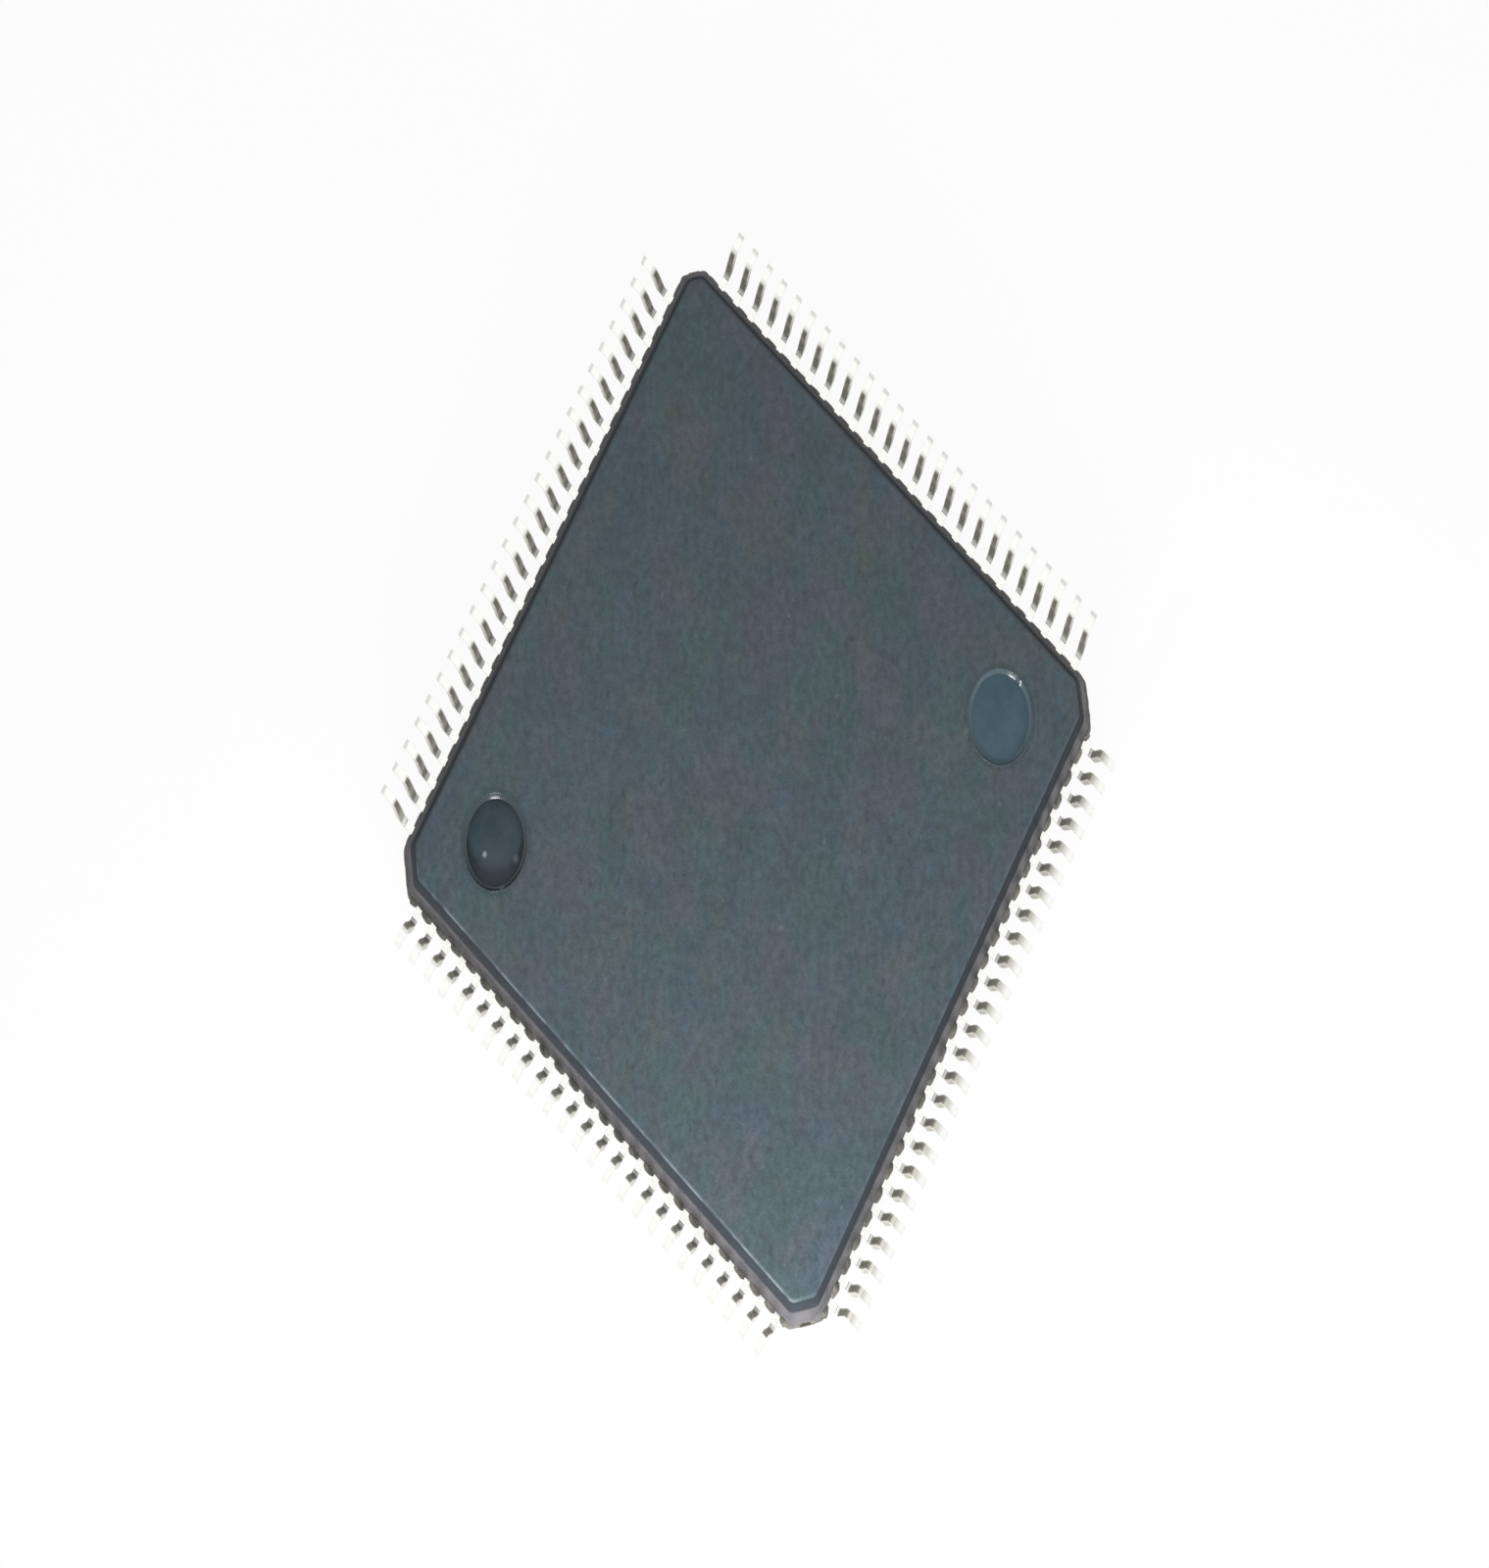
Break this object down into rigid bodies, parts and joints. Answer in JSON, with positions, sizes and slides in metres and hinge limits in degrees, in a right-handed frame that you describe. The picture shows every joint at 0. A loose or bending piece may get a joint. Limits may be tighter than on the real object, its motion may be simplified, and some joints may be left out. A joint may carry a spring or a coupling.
{
  "type": "quad flat pack chip",
  "caption": "Surface-mount quad flat pack chip lying on its top face, with gull-wing leads on all four sides and round mould marks on its underside.",
  "frame": {"origin": "centre of the package's top face, which the part lies on", "axes": "+Z out of the package's underside, towards the soles of the feet; X and Y square to the sides"},
  "size_m": [0.016, 0.016, 0.0022],
  "materials": {
    "mould_compound": "fine matte texture left by the mould",
    "tinned_lead": "satin tin plating over copper alloy",
    "frame_metal": "rolled copper alloy",
    "die_attach_paste": "silver-filled epoxy",
    "silicon": "polished silicon",
    "bond_wire_gold": "drawn gold wire"
  },
  "bodies": {
    "root": {"package_body": "mould_compound", "leads_001_005": "tinned_lead", "leads_006_010": "tinned_lead", "leads_011_015": "tinned_lead", "leads_016_020": "tinned_lead", "leads_021_025": "tinned_lead", "leads_026_030": "tinned_lead", "leads_031_035": "tinned_lead", "leads_036_040": "tinned_lead", "leads_041_045": "tinned_lead", "leads_046_050": "tinned_lead", "leads_051_055": "tinned_lead", "leads_056_060": "tinned_lead", "leads_061_065": "tinned_lead", "leads_066_070": "tinned_lead", "leads_071_075": "tinned_lead", "leads_076_080": "tinned_lead", "leads_081_085": "tinned_lead", "leads_086_090": "tinned_lead", "leads_091_095": "tinned_lead", "leads_096_100": "tinned_lead", "die_pad": "frame_metal", "die_attach": "die_attach_paste", "die": "silicon", "bond_wires_east": "bond_wire_gold", "bond_wires_north": "bond_wire_gold", "bond_wires_west": "bond_wire_gold", "bond_wires_south": "bond_wire_gold"}
  },
  "joints": []
}
